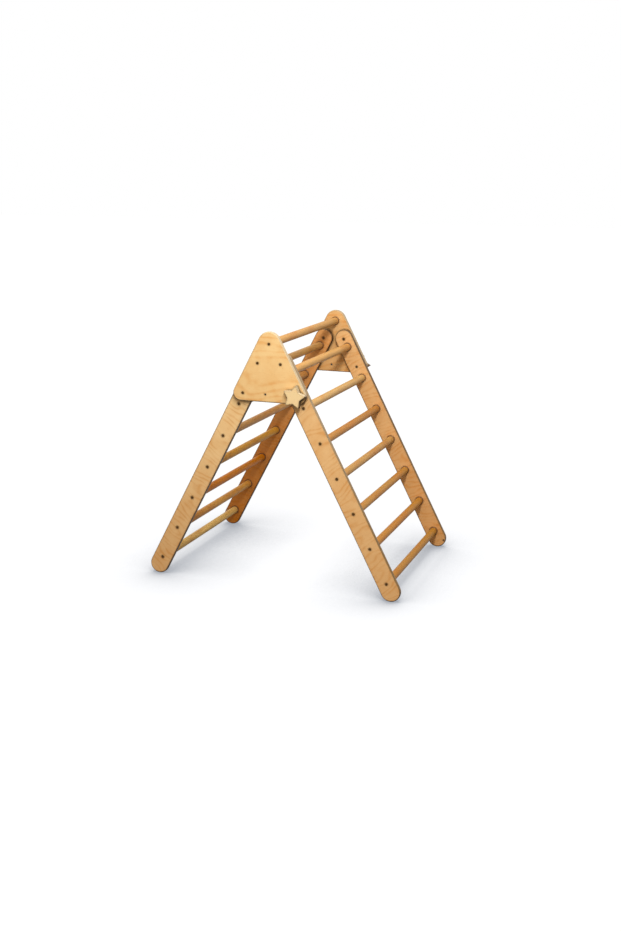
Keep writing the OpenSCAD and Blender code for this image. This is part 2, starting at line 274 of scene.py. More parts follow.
def empty_material(name):
    """A material with nothing in it but its output node, and that node."""
    material = bpy.data.materials.new(name)
    material.use_nodes = True
    material.node_tree.nodes.clear()
    return material, material.node_tree, add(material.node_tree, "ShaderNodeOutputMaterial")


def dress(node_name, material):
    """Puts one material on every slot of a part's node."""
    mesh = nodes[node_name].data
    mesh.materials.clear()
    mesh.materials.append(material)


def painted_corner_shade(tree, base, corner_shade):
    """The base colour, darkened by painted shade in holes, joints and gaps.

    The painted shade begins where other surfaces close off some of the view within its reach.
    """
    reach, clear_view, closed_view, strength = 0.012, 0.85, 0.35, 0.92
    view = add(tree, "ShaderNodeAmbientOcclusion", {"samples": 6}, {"Distance": reach})
    shade_share = add(tree, "ShaderNodeMapRange", None,
                  {0: view.outputs["AO"], 1: clear_view, 2: closed_view, 3: 0.0, 4: strength})
    return add(tree, "ShaderNodeMix", COLOURS,
               {SHARE: shade_share.outputs[0], FIRST: base, SECOND: corner_shade})


def painted_outline_shade(tree, base, burnt, width, strength):
    """The base colour, darkened by a narrow painted line of shade along outlines and holes.

    Seen from within the board, the surface near an edge has less wood around it.
    """
    inner, outer = 0.98, 0.6
    wood = add(tree, "ShaderNodeAmbientOcclusion",
               {"samples": 6, "inside": True, "only_local": True}, {"Distance": width})
    line = add(tree, "ShaderNodeMapRange", None,
               {0: wood.outputs["AO"], 1: inner, 2: outer, 3: 0.0, 4: strength})
    # Mixes in the colour passed as burnt, here a painted line of outline shade
    return add(tree, "ShaderNodeMix", COLOURS,
               {SHARE: line.outputs[0], FIRST: base, SECOND: burnt})


def lacquered(tree, output, tone, relief, fibre, look):
    """Satin lacquer over wood: a fine relief, and streaks of fibre that are a little duller."""
    strength, height, spread = 0.25, 0.0002, 0.16
    bump = add(tree, "ShaderNodeBump", None,
               {"Strength": strength, "Distance": height, "Height": relief})
    rough = add(tree, "ShaderNodeMath", TIMES_PLUS,
                {0: fibre, 1: spread, 2: look.roughness - spread / 2})
    shader = add(tree, "ShaderNodeBsdfPrincipled", None, {
        "Base Color": tone, "Roughness": rough.outputs[0], "Specular IOR Level": look.sheen,
        "Normal": bump.outputs[0], "Coat Weight": look.lacquer, "Coat Roughness": look.satin,
    })
    tree.links.new(shader.outputs[0], output.inputs["Surface"])


def late_wood(tree, grain, across, figure):
    """Strength of the lines of late wood in birch veneer.

    The lines are contours of a height: the place across the grain over the distance
    between lines, plus a slow swell stretched along the grain, plus a small ripple. The
    height's sine, brought to between 0 and 1 and raised to a power, gives thin lines.
    """
    swell_length, swell_width, swell_rise = 5.76 * figure, 1.92 * figure, 6.0
    ripple_length, ripple_width, ripple_rise = 0.045, 0.03, 0.5
    thinness = 3.0
    swell_at = add(tree, "ShaderNodeVectorMath", TIMES,
                   {0: grain, 1: (1 / swell_length, 1.0, 1 / swell_width)})
    swell = add(tree, "ShaderNodeTexNoise", None,
                {"Vector": swell_at.outputs[0], "Scale": 1.0, "Detail": 1.0, "Roughness": 0.45})
    ripple_at = add(tree, "ShaderNodeVectorMath", TIMES,
                    {0: grain, 1: (1 / ripple_length, 1.0, 1 / ripple_width)})
    ripple = add(tree, "ShaderNodeTexNoise", None,
                 {"Vector": ripple_at.outputs[0], "Scale": 1.0, "Detail": 2.0, "Roughness": 0.5})
    rise = add(tree, "ShaderNodeMath", TIMES, {0: swell.outputs[0], 1: swell_rise})
    rise = add(tree, "ShaderNodeMath", TIMES_PLUS, {0: across, 1: 1 / figure, 2: rise.outputs[0]})
    rise = add(tree, "ShaderNodeMath", TIMES_PLUS,
               {0: ripple.outputs[0], 1: ripple_rise, 2: rise.outputs[0]})
    angle = add(tree, "ShaderNodeMath", TIMES, {0: rise.outputs[0], 1: FULL_TURN})
    wave = add(tree, "ShaderNodeMath", {"operation": "SINE"}, {0: angle.outputs[0]})
    band = add(tree, "ShaderNodeMath", TIMES_PLUS, {0: wave.outputs[0], 1: 0.5, 2: 0.5})
    return add(tree, "ShaderNodeMath", {"operation": "POWER"}, {0: band.outputs[0], 1: thinness})


def veneer(tree, grain, line, fibre, pale, amber, wood):
    """Face veneer: lines that come and go with patches of amber, fibres, and brown flecks."""
    fleck_length, fleck_width = 0.009, 0.0013
    flecks_from, flecks_full, fleck_strength = 0.72, 0.8, 0.2
    patches_from, patches_full, patch_strength = 0.34, 0.68, 0.3
    line_strength, line_with_patch, fibre_strength, plain_below = 0.18, 0.45, 0.35, 0.1
    fleck_at = add(tree, "ShaderNodeVectorMath", TIMES,
                   {0: grain, 1: (1 / fleck_length, 1.0, 1 / fleck_width)})
    fleck = add(tree, "ShaderNodeTexNoise", None,
                {"Vector": fleck_at.outputs[0], "Scale": 1.0, "Detail": 0.0})
    fleck = add(tree, "ShaderNodeMapRange", SOFT,
                {0: fleck.outputs[0], 1: flecks_from, 2: flecks_full})
    patch = add(tree, "ShaderNodeTexNoise", None,
                {"Vector": grain, "Scale": 1 / wood.patch, "Detail": 2.0, "Roughness": 0.55})
    patch = add(tree, "ShaderNodeMapRange", None,
                {0: patch.outputs[0], 1: patches_from, 2: patches_full})
    shown = add(tree, "ShaderNodeMath", TIMES_PLUS,
                {0: patch.outputs[0], 1: line_with_patch, 2: line_strength})
    tint = add(tree, "ShaderNodeMath", TIMES, {0: line, 1: shown.outputs[0]})
    tint = add(tree, "ShaderNodeMath", TIMES_PLUS,
               {0: patch.outputs[0], 1: patch_strength, 2: tint.outputs[0]})
    tint = add(tree, "ShaderNodeMath", CLAMPED_TIMES_PLUS,
               {0: fibre, 1: fibre_strength, 2: tint.outputs[0]})
    tint = add(tree, "ShaderNodeMath", {"operation": "SUBTRACT", "use_clamp": True},
               {0: tint.outputs[0], 1: plain_below})
    face = add(tree, "ShaderNodeMix", COLOURS,
               {SHARE: tint.outputs[0], FIRST: pale, SECOND: amber})
    marks = add(tree, "ShaderNodeMath", TIMES, {0: fleck.outputs[0], 1: fleck_strength})
    return add(tree, "ShaderNodeMix", COLOURS,
               {SHARE: marks.outputs[0], FIRST: face.outputs[MIXED], SECOND: wood.fleck})


def plywood(name, board, turn, pale, amber, tone, figure, wood):
    """Rotary-cut birch plywood, machined with rounded edges and lacquered satin.

    The eye sees a pale honey face with soft, wavy lines of late wood two to four
    centimetres apart, fine fibre streaks along them, and patches of amber. The sanded
    edges show the plies as thin stripes: end grain darker, and a dark line of glue between.
    Over the edges lie painted light and shade: pale where they face up, painted dark brown
    shade where they face down, and browner towards the floor. A narrow painted line of shade
    runs along the outline and around the holes, darkest on boards with brown edges, and
    holes, joints and gaps are darkened with painted shade.
    The pattern's own X lies along the face grain, Y through the board, Z across the grain.
    A deeper board leans towards the deep tone, more or less so from its top to its bottom;
    part of that depth is painted shade.
    """
    pale_lean, amber_lean = 0.7, 0.85
    top_depth, bottom_depth, brown = tone
    low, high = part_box(board)
    # The plies are counted from the middle of the board, so that both faces are alike
    centre = (low + high) / 2
    material, tree, output = empty_material(f"{name}, {board}")
    source = add(tree, "ShaderNodeTexCoord")
    placed = add(tree, "ShaderNodeMapping", TURNED,
                 {"Vector": source.outputs["Object"], "Location": centre,
                  "Rotation": (0, turn, 0)})
    height = add(tree, "ShaderNodeSeparateXYZ", None, {0: source.outputs["Object"]})
    # down runs from the board's top to its bottom; the deepening along it is partly painted shade
    # towards the floor
    down = add(tree, "ShaderNodeMapRange", None, {0: height.outputs["Z"], 1: high.z, 2: low.z})
    pale, amber = (
        add(tree, "ShaderNodeMix", COLOURS,
            {SHARE: down.outputs[0], FIRST: blend(plain, wood.deep, lean * top_depth),
             SECOND: blend(plain, wood.deep, lean * bottom_depth)})
        for plain, lean in ((pale, pale_lean), (amber, amber_lean))
    )
    facing = add(tree, "ShaderNodeMapping", TURNED,
                 {"Vector": source.outputs["Normal"], "Rotation": (0, turn, 0)})
    at = add(tree, "ShaderNodeSeparateXYZ", None, {0: placed.outputs[0]})
    out = add(tree, "ShaderNodeVectorMath", POSITIVE, {0: facing.outputs[0]})
    out = add(tree, "ShaderNodeSeparateXYZ", None, {0: out.outputs[0]})

    # Number of the ply, counted from the middle one; odd plies lie crosswise. They are
    # counted a hair thicker than they are, so that both faces fall in the outermost plies
    counted, pattern_step = wood.ply * 1.004, 0.37
    depth = add(tree, "ShaderNodeMath", POSITIVE, {0: at.outputs["Y"]})
    plies = add(tree, "ShaderNodeMath", {"operation": "DIVIDE"}, {0: depth.outputs[0], 1: counted})
    number = add(tree, "ShaderNodeMath", {"operation": "ROUND"}, {0: plies.outputs[0]})
    crosswise = add(tree, "ShaderNodeMath", {"operation": "PINGPONG"},
                    {0: number.outputs[0], 1: 1.0})
    along, across = (
        add(tree, "ShaderNodeMix", None,
            {SHARE: crosswise.outputs[0], FIRST_NUMBER: at.outputs[lengthwise],
             SECOND_NUMBER: at.outputs[sideways]})
        for lengthwise, sideways in ("XZ", "ZX")
    )
    layer = add(tree, "ShaderNodeMath", TIMES, {0: number.outputs[0], 1: pattern_step})
    grain = add(tree, "ShaderNodeCombineXYZ", None,
                {"X": along.outputs[0], "Y": layer.outputs[0], "Z": across.outputs[0]})

    streak_length = 0.022
    fibre_at = add(tree, "ShaderNodeVectorMath", TIMES,
                   {0: grain.outputs[0], 1: (1 / streak_length, 1.0, 1 / wood.fibre)})
    fibre = add(tree, "ShaderNodeTexNoise", None,
                {"Vector": fibre_at.outputs[0], "Scale": 1.0, "Detail": 3.0, "Roughness": 0.6})
    line = late_wood(tree, grain.outputs[0], across.outputs[0], figure)
    face = veneer(tree, grain.outputs[0], line.outputs[0], fibre.outputs[0],
                  pale.outputs[MIXED], amber.outputs[MIXED], wood)

    # The edges, with painted light and shade: painted pale where they face up, painted dark brown
    # shade where they face down, and browner near the floor
    faces_down, faces_up = -0.1, 0.35
    flat, rounded, cover = 0.99, 0.7, 0.9
    plain_above, browner_below = 0.75, 0.15
    normal = add(tree, "ShaderNodeSeparateXYZ", None, {0: source.outputs["Normal"]})
    painted_light_share = add(tree, "ShaderNodeMapRange", SOFT,
                 {0: normal.outputs["Z"], 1: faces_down, 2: faces_up})
    rim = add(tree, "ShaderNodeMapRange", SOFT, {0: out.outputs["Y"], 1: flat, 2: rounded})
    sanded = add(tree, "ShaderNodeMath", TIMES, {0: rim.outputs[0], 1: cover})
    near_floor = add(tree, "ShaderNodeMapRange", SOFT,
                     {0: height.outputs["Z"], 1: plain_above, 2: browner_below})
    edge = add(tree, "ShaderNodeMix", COLOURS,
               {SHARE: near_floor.outputs[0], FIRST: blend(wood.edge, wood.underside_shade, brown),
                SECOND: wood.low_down})
    edge = add(tree, "ShaderNodeMix", COLOURS,
               {SHARE: painted_light_share.outputs[0], FIRST: wood.underside_shade, SECOND: edge.outputs[MIXED]})
    body = add(tree, "ShaderNodeMix", COLOURS,
               {SHARE: sanded.outputs[0], FIRST: face.outputs[MIXED], SECOND: edge.outputs[MIXED]})

    # End grain shows where a ply's fibres point out of the surface, glue lines only on
    # edges, where a ply is half its thickness from its own middle
    end_strength, seam_from, seam_full, seam_strength = 0.45, 0.36, 0.48, 0.4
    ends = add(tree, "ShaderNodeMix", None,
               {SHARE: crosswise.outputs[0], FIRST_NUMBER: out.outputs["X"],
                SECOND_NUMBER: out.outputs["Z"]})
    ends = add(tree, "ShaderNodeMath", TIMES, {0: ends.outputs[0], 1: end_strength})
    # End grain is kept off edges that face down, so that their painted shade stays dark
    ends = add(tree, "ShaderNodeMath", TIMES, {0: ends.outputs[0], 1: painted_light_share.outputs[0]})
    body = add(tree, "ShaderNodeMix", COLOURS,
               {SHARE: ends.outputs[0], FIRST: body.outputs[MIXED], SECOND: wood.end_grain})
    seam = add(tree, "ShaderNodeMath", {"operation": "SUBTRACT"},
               {0: plies.outputs[0], 1: number.outputs[0]})
    seam = add(tree, "ShaderNodeMath", POSITIVE, {0: seam.outputs[0]})
    seam = add(tree, "ShaderNodeMapRange", SOFT, {0: seam.outputs[0], 1: seam_from, 2: seam_full})
    seam = add(tree, "ShaderNodeMath", TIMES, {0: seam.outputs[0], 1: rim.outputs[0]})
    seam = add(tree, "ShaderNodeMath", TIMES, {0: seam.outputs[0], 1: seam_strength})
    body = add(tree, "ShaderNodeMix", COLOURS,
               {SHARE: seam.outputs[0], FIRST: body.outputs[MIXED], SECOND: wood.glue_line})

    # Painted shade: a dark line along outlines and holes, then shade in holes, joints and gaps
    body = painted_outline_shade(tree, body.outputs[MIXED], wood.underside_shade, wood.outline_shade_width,
                    wood.outline_shade * (1 + brown) / 2)
    body = painted_corner_shade(tree, body.outputs[MIXED], wood.corner)
    line_relief = 0.4
    relief = add(tree, "ShaderNodeMath", TIMES_PLUS,
                 {0: line.outputs[0], 1: line_relief, 2: fibre.outputs[0]})
    lacquered(tree, output, body.outputs[MIXED], relief.outputs[0], fibre.outputs[0], wood)
    return material


def dowel_wood(name, tone, rod):
    """Beech, turned to a dowel, sanded and lacquered satin.

    The eye sees a plain tan rod with long streaks along it, orange patches a hand long
    and a scatter of short brown rays. Its tone differs from one rung to the next, from
    pale tan to orange-brown. The rungs lie along Y.
    Growth rings are planes across the rod, bent by a slow noise: the place across, over
    the distance between rings, plus the bend, and the sine of that.
    """
    ring_direction = (0.8, 0.0, 0.6)
    bends_per_metre, bend_rise = (14.0, 3.5, 14.0), 5.0
    streak_length, ray_width = 0.05, 0.001
    rays_from, rays_full, ray_strength = 0.66, 0.76, 0.4
    ring_share, fibre_share = 0.35, 0.65
    patches_per_metre = (12.0, 7.0, 12.0)
    patches_from, patches_full, patch_strength = 0.48, 0.68, 0.4
    pale, tan = (
        tuple(min(v * (1 + change), 1.0) for v in tone) for change in (rod.streaks, -rod.streaks)
    )
    material, tree, output = empty_material(name)
    source = add(tree, "ShaderNodeTexCoord")
    at = source.outputs["Object"]
    bend_at = add(tree, "ShaderNodeVectorMath", TIMES, {0: at, 1: bends_per_metre})
    bend = add(tree, "ShaderNodeTexNoise", None,
               {"Vector": bend_at.outputs[0], "Scale": 1.0, "Detail": 1.0})
    across = add(tree, "ShaderNodeVectorMath", {"operation": "DOT_PRODUCT"},
                 {0: at, 1: ring_direction})
    rise = add(tree, "ShaderNodeMath", TIMES, {0: across.outputs["Value"], 1: 1 / rod.ring})
    rise = add(tree, "ShaderNodeMath", TIMES_PLUS,
               {0: bend.outputs[0], 1: bend_rise, 2: rise.outputs[0]})
    angle = add(tree, "ShaderNodeMath", TIMES, {0: rise.outputs[0], 1: FULL_TURN})
    wave = add(tree, "ShaderNodeMath", {"operation": "SINE"}, {0: angle.outputs[0]})
    ring = add(tree, "ShaderNodeMath", TIMES_PLUS, {0: wave.outputs[0], 1: 0.5, 2: 0.5})
    fibre_at = add(tree, "ShaderNodeVectorMath", TIMES,
                   {0: at, 1: (1 / rod.fibre, 1 / streak_length, 1 / rod.fibre)})
    fibre = add(tree, "ShaderNodeTexNoise", None,
                {"Vector": fibre_at.outputs[0], "Scale": 1.0, "Detail": 3.0, "Roughness": 0.6})
    ray_at = add(tree, "ShaderNodeVectorMath", TIMES,
                 {0: at, 1: (1 / ray_width, 1 / rod.ray, 1 / ray_width)})
    ray = add(tree, "ShaderNodeTexNoise", None,
              {"Vector": ray_at.outputs[0], "Scale": 1.0, "Detail": 0.0})
    ray = add(tree, "ShaderNodeMapRange", SOFT, {0: ray.outputs[0], 1: rays_from, 2: rays_full})
    tint = add(tree, "ShaderNodeMath", TIMES, {0: ring.outputs[0], 1: ring_share})
    tint = add(tree, "ShaderNodeMath", CLAMPED_TIMES_PLUS,
               {0: fibre.outputs[0], 1: fibre_share, 2: tint.outputs[0]})
    wood = add(tree, "ShaderNodeMix", COLOURS, {SHARE: tint.outputs[0], FIRST: pale, SECOND: tan})
    patch_at = add(tree, "ShaderNodeVectorMath", TIMES, {0: at, 1: patches_per_metre})
    patch = add(tree, "ShaderNodeTexNoise", None,
                {"Vector": patch_at.outputs[0], "Scale": 1.0, "Detail": 2.0})
    patch = add(tree, "ShaderNodeMapRange", SOFT,
                {0: patch.outputs[0], 1: patches_from, 2: patches_full, 3: 0.0, 4: patch_strength})
    wood = add(tree, "ShaderNodeMix", COLOURS,
               {SHARE: patch.outputs[0], FIRST: wood.outputs[MIXED], SECOND: rod.orange})
    marks = add(tree, "ShaderNodeMath", TIMES, {0: ray.outputs[0], 1: ray_strength})
    wood = add(tree, "ShaderNodeMix", COLOURS,
               {SHARE: marks.outputs[0], FIRST: wood.outputs[MIXED], SECOND: rod.fleck})
    # Painted shade where the rung enters a board
    wood = painted_corner_shade(tree, wood.outputs[MIXED], rod.corner)
    lacquered(tree, output, wood.outputs[MIXED], fibre.outputs[0], fibre.outputs[0], rod)
    return material


def turned_metal(name, base, worn, roughness, pitch, wear):
    """Turned steel or brass: fine lathe marks along the turning axis and rubbed spots.

    All fittings are turned about Y, so the marks are rings stacked along Y.
    The eye sees a dull sheen that runs round the piece, and lighter metal in spots.
    """
    around_per_metre, mark_depth, mark_strength, spread = 60.0, 0.00005, 0.3, 0.25
    spot_size, spots_from, spots_full = 0.0022, 0.5, 0.72
    material, tree, output = empty_material(name)
    source = add(tree, "ShaderNodeTexCoord")
    mark_at = add(tree, "ShaderNodeVectorMath", TIMES,
                  {0: source.outputs["Object"],
                   1: (around_per_metre, 1 / pitch, around_per_metre)})
    mark = add(tree, "ShaderNodeTexNoise", None,
               {"Vector": mark_at.outputs[0], "Scale": 1.0, "Detail": 2.0})
    spot = add(tree, "ShaderNodeTexNoise", None,
               {"Vector": source.outputs["Object"], "Scale": 1 / spot_size, "Detail": 3.0,
                "Roughness": 0.6})
    spot = add(tree, "ShaderNodeMapRange", SOFT,
               {0: spot.outputs[0], 1: spots_from, 2: spots_full})
    spot = add(tree, "ShaderNodeMath", TIMES, {0: spot.outputs[0], 1: wear})
    tone = add(tree, "ShaderNodeMix", COLOURS, {SHARE: spot.outputs[0], FIRST: base, SECOND: worn})
    rough = add(tree, "ShaderNodeMath", CLAMPED_TIMES_PLUS,
                {0: mark.outputs[0], 1: spread, 2: roughness - spread / 2})
    bump = add(tree, "ShaderNodeBump", None,
               {"Strength": mark_strength, "Distance": mark_depth, "Height": mark.outputs[0]})
    shader = add(tree, "ShaderNodeBsdfPrincipled", None, {
        "Base Color": tone.outputs[MIXED], "Metallic": 1.0, "Roughness": rough.outputs[0],
        "Normal": bump.outputs[0],
    })
    tree.links.new(shader.outputs[0], output.inputs["Surface"])
    return material


def moulded_nylon(name, base):
    """Natural nylon, moulded: off-white, a little cloudy, with a soft waxy gloss."""
    cloud_size, dull, spread, smoothest = 0.004, 0.82, 0.15, 0.35
    material, tree, output = empty_material(name)
    source = add(tree, "ShaderNodeTexCoord")
    cloud = add(tree, "ShaderNodeTexNoise", None,
                {"Vector": source.outputs["Object"], "Scale": 1 / cloud_size, "Detail": 2.0})
    tone = add(tree, "ShaderNodeMix", COLOURS,
               {SHARE: cloud.outputs[0], FIRST: base, SECOND: dimmed(base, dull)})
    rough = add(tree, "ShaderNodeMath", TIMES_PLUS,
                {0: cloud.outputs[0], 1: spread, 2: smoothest})
    shader = add(tree, "ShaderNodeBsdfPrincipled", None, {
        "Base Color": tone.outputs[MIXED], "Roughness": rough.outputs[0], "IOR": 1.53,
        "Subsurface Weight": 0.1, "Subsurface Radius": (0.001, 0.001, 0.0008),
    })
    tree.links.new(shader.outputs[0], output.inputs["Surface"])
    return material


def dried_glue(name, base):
    """Wood glue that was pressed out of the sockets, dried and lacquered over.

    The eye sees a thin, slightly glossy, uneven brown line around each rung. Its dark brown
    is partly the glue and partly painted shade in the joint.
    """
    lump_size, dark, lump_height, lump_strength = 0.005, 0.55, 0.0003, 0.4
    material, tree, output = empty_material(name)
    source = add(tree, "ShaderNodeTexCoord")
    lump = add(tree, "ShaderNodeTexNoise", None,
               {"Vector": source.outputs["Object"], "Scale": 1 / lump_size, "Detail": 2.0})
    tone = add(tree, "ShaderNodeMix", COLOURS,
               {SHARE: lump.outputs[0], FIRST: base, SECOND: dimmed(base, dark)})
    bump = add(tree, "ShaderNodeBump", None,
               {"Strength": lump_strength, "Distance": lump_height, "Height": lump.outputs[0]})
    shader = add(tree, "ShaderNodeBsdfPrincipled", None, {
        "Base Color": tone.outputs[MIXED], "Roughness": 0.35, "IOR": 1.47,
        "Normal": bump.outputs[0],
    })
    tree.links.new(shader.outputs[0], output.inputs["Surface"])
    return material


class CLIMBER_OT_finish_plates(bpy.types.Operator):
    """Lacquered birch plywood on the two corner plates, its grain level"""

    bl_idname = "climber.finish_plates"
    bl_label = "Finish the corner plates"

    def execute(self, context):
        wood = context.scene.climber_plywood
        for name, (turn, *tone) in PLATES.items():
            dress(name, plywood("Lacquered birch plywood", name, math.radians(turn),
                                wood.plate_pale, wood.plate_amber, tone, wood.figure, wood))
        return {"FINISHED"}


class CLIMBER_OT_finish_rails(bpy.types.Operator):
    """Lacquered birch plywood on the four rails, its grain across each rail"""

    bl_idname = "climber.finish_rails"
    bl_label = "Finish the rails"

    def execute(self, context):
        wood = context.scene.climber_plywood
        for name, (skew, *tone) in RAILS.items():
            lean = -LEAN if "swing" in name else LEAN
            dress(name, plywood("Lacquered birch plywood", name, math.radians(skew) + lean,
                                wood.rail_pale, wood.rail_amber, tone, wood.rail_figure, wood))
        return {"FINISHED"}


class CLIMBER_OT_finish_stars(bpy.types.Operator):
    """Pale lacquered birch plywood on the two star knobs"""

    bl_idname = "climber.finish_stars"
    bl_label = "Finish the star knobs"

    def execute(self, context):
        wood = context.scene.climber_plywood
        for name, (turn, *tone) in STARS.items():
            dress(name, plywood("Pale birch plywood", name, math.radians(turn),
                                wood.star_pale, wood.star_amber, tone, wood.rail_figure, wood))
        return {"FINISHED"}


class CLIMBER_OT_finish_rungs(bpy.types.Operator):
    """Lacquered beech on the fifteen rungs"""

    bl_idname = "climber.finish_rungs"
    bl_label = "Finish the rungs"

    def execute(self, context):
        rod = context.scene.climber_dowel
        tones = {
            f"{ladder}_rung_{n}": ladder_tones[n - 1]
            for ladder, ladder_tones in RUNG_TONES.items() for n in RUNGS
        }
        tones["top_rung"] = TOP_RUNG_TONE
        for name, tone in tones.items():
            dress(name, dowel_wood(f"Lacquered beech dowel, {name}", linear(tone), rod))
        return {"FINISHED"}


class CLIMBER_OT_finish_fittings(bpy.types.Operator):
    """Bronzed steel, zinc, brass and nylon on the screws, bolts, studs and washers"""

    bl_idname = "climber.finish_fittings"
    bl_label = "Finish the fittings"

    def execute(self, context):
        look = context.scene.climber_fittings
        bronzed = turned_metal("Bronzed steel, turned", look.bronzed, look.worn,
                               roughness=0.42, pitch=look.pitch, wear=0.35)
        zinc = turned_metal("Zinc plated steel, turned", look.zinc, look.dull_zinc,
                            roughness=0.3, pitch=look.pitch, wear=0.5)
        brass = turned_metal("Brass, turned", look.brass, look.dull_brass,
                             roughness=0.3, pitch=look.pitch, wear=0.4)
        for name in BRONZED_NODES:
            dress(name, bronzed)
        for name in ZINC_NODES:
            dress(name, zinc)
        dress("lock_inserts", brass)
        dress("slip_washers", moulded_nylon("Natural nylon, moulded", look.nylon))
        return {"FINISHED"}


def bead_rings(centres, side, radius, size):
    """Fillets of glue, one around each rung where it enters a board.

    A quarter-round hollow profile is carried round a circle: at the angle a, the point of
    the profile at w lies at the radius + size * (1 - sin w) from the rung's axis and at
    size * (1 - cos w) out of the board's face, with w from 0 to a right angle. The size
    swells and shrinks slowly with a, by a fifth three times a turn and by a seventh
    seven times a turn.
    """
    around, along = 48, 6
    a = np.linspace(0, FULL_TURN, around, endpoint=False)
    w = np.linspace(0, math.pi / 2, along)
    swell = size * (1 + 0.22 * np.sin(3 * a + 0.7) + 0.14 * np.sin(7 * a))
    reach = radius + swell[:, None] * (1 - np.sin(w))[None, :]
    proud = swell[:, None] * (1 - np.cos(w))[None, :]
    ring = np.stack([reach * np.cos(a)[:, None], side * proud, reach * np.sin(a)[:, None]], -1)
    ring = ring.reshape(-1, 3)
    points = (np.asarray(centres)[:, None, :] + ring[None, :, :]).reshape(-1, 3)
    i, j = np.meshgrid(np.arange(around), np.arange(along - 1), indexing="ij")
    k = (i + 1) % around
    quads = np.stack([i * along + j, i * along + j + 1, k * along + j + 1, k * along + j], -1)
    quads = quads.reshape(-1, 4)
    if side < 0:
        quads = quads[:, ::-1]
    faces = np.concatenate([quads + n * around * along for n in range(len(centres))])
    return points, faces


class CLIMBER_OT_add_glue_beads(bpy.types.Operator):
    """A thin bead of dried glue around each rung where it enters a rail or plate"""

    bl_idname = "climber.add_glue_beads"
    bl_label = "Add the glue beads"

    def execute(self, context):
        rod = context.scene.climber_dowel
        material = dried_glue("Dried wood glue", rod.bead_and_joint_shade_colour)
        # The body that each group rides on, its rungs, and the near and the far board
        groups = {
            "fixed_ladder_glue_beads": ("fixed_frame", [f"fixed_rung_{n}" for n in RUNGS],
                                        ("near_fixed_rail", "far_fixed_rail")),
            "top_rung_glue_beads": ("fixed_frame", ["top_rung"], PLATES),
            "swing_ladder_glue_beads": ("swing_ladder", [f"swing_rung_{n}" for n in RUNGS],
                                        ("near_swing_rail", "far_swing_rail")),
        }
        for name, (body, rungs, boards) in groups.items():
            low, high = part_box(rungs[0])
            radius = (high.x - low.x) / 2
            all_points, all_faces, start = [], [], 0
            for board, side in zip(boards, (1, -1)):
                board_low, board_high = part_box(board)
                face_y = board_high.y if side > 0 else board_low.y
                centres = []
                for rung in rungs:
                    low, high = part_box(rung)
                    centres.append(((low.x + high.x) / 2, face_y, (low.z + high.z) / 2))
                points, faces = bead_rings(centres, side, radius, rod.bead)
                all_points.append(points)
                all_faces.append(faces + start)
                start += len(points)
            mesh = bpy.data.meshes.new(name)
            mesh.from_pydata(np.concatenate(all_points), [], np.concatenate(all_faces).tolist())
            mesh.validate()
            mesh.shade_smooth()
            mesh.materials.append(material)
            beads = bpy.data.objects.new(name, mesh)
            context.scene.collection.objects.link(beads)
            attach(beads, body)
        return {"FINISHED"}


def looking_at(target, azimuth, elevation, roll, distance):
    """The place of a camera or lamp that looks at a target, turned about its own middle."""
    back = Vector((math.sin(azimuth) * math.cos(elevation),
                   -math.cos(azimuth) * math.cos(elevation), math.sin(elevation)))
    right = Vector((math.cos(azimuth), math.sin(azimuth), 0))
    up = back.cross(right)
    right = right * math.cos(roll) + up * math.sin(roll)
    turned = Matrix((right, back.cross(right), back)).transposed().to_4x4()
    return Matrix.Translation(target + back * distance) @ turned


def soft_lamp(name, watts, width, height, turn, azimuth, elevation, distance):
    """A broad lamp that faces the middle of the object; the camera doesn't see it."""
    middle = Vector((0, 0, 0.6))
    data = bpy.data.lights.new(name, "AREA")
    data.energy, data.shape, data.size, data.size_y = watts, "RECTANGLE", width, height
    light = bpy.data.objects.new(name, data)
    bpy.context.scene.collection.objects.link(light)
    light.matrix_world = looking_at(middle, math.radians(azimuth), math.radians(elevation),
                                    math.radians(turn), distance)
    light.visible_camera = False


def seen_as_backdrop(tree):
    """1 for rays that show floor and world as they look: to the camera, in gloss, through glass."""
    path = add(tree, "ShaderNodeLightPath")
    seen = add(tree, "ShaderNodeMath", LARGER,
               {0: path.outputs["Is Camera Ray"], 1: path.outputs["Is Transmission Ray"]})
    return add(tree, "ShaderNodeMath", LARGER,
               {0: path.outputs["Is Glossy Ray"], 1: seen.outputs[0]})


def white_paper(look):
    """Matt white paper that the camera sees lifted to white where no shadow lies.

    It is a little darker close to what stands on it, and white far out.
    """
    closed_view, clear_view = 0.6, 1.0
    material, tree, output = empty_material("White paper floor")
    paper = add(tree, "ShaderNodeBsdfDiffuse", None, {"Color": look.floor})
    source = add(tree, "ShaderNodeTexCoord")
    far = add(tree, "ShaderNodeVectorMath", {"operation": "LENGTH"}, {0: source.outputs["Object"]})
    far = add(tree, "ShaderNodeMapRange", SOFT,
              {0: far.outputs["Value"], 1: look.bright_from, 2: look.bright_to})
    view = add(tree, "ShaderNodeAmbientOcclusion", {"samples": 16},
               {"Distance": look.contact_reach})
    view = add(tree, "ShaderNodeMapRange", None,
               {0: view.outputs["AO"], 1: closed_view, 2: clear_view})
    tone = add(tree, "ShaderNodeMix", COLOURS,
               {SHARE: view.outputs[0], FIRST: look.contact, SECOND: look.lift})
    tone = add(tree, "ShaderNodeMix", COLOURS,
               {SHARE: far.outputs[0], FIRST: tone.outputs[MIXED], SECOND: linear(WHITE)})
    seen = seen_as_backdrop(tree)
    lift = add(tree, "ShaderNodeEmission", None,
               {"Color": tone.outputs[MIXED], "Strength": seen.outputs[0]})
    both = add(tree, "ShaderNodeAddShader", None, {0: paper.outputs[0], 1: lift.outputs[0]})
    tree.links.new(both.outputs[0], output.inputs["Surface"])
    return material


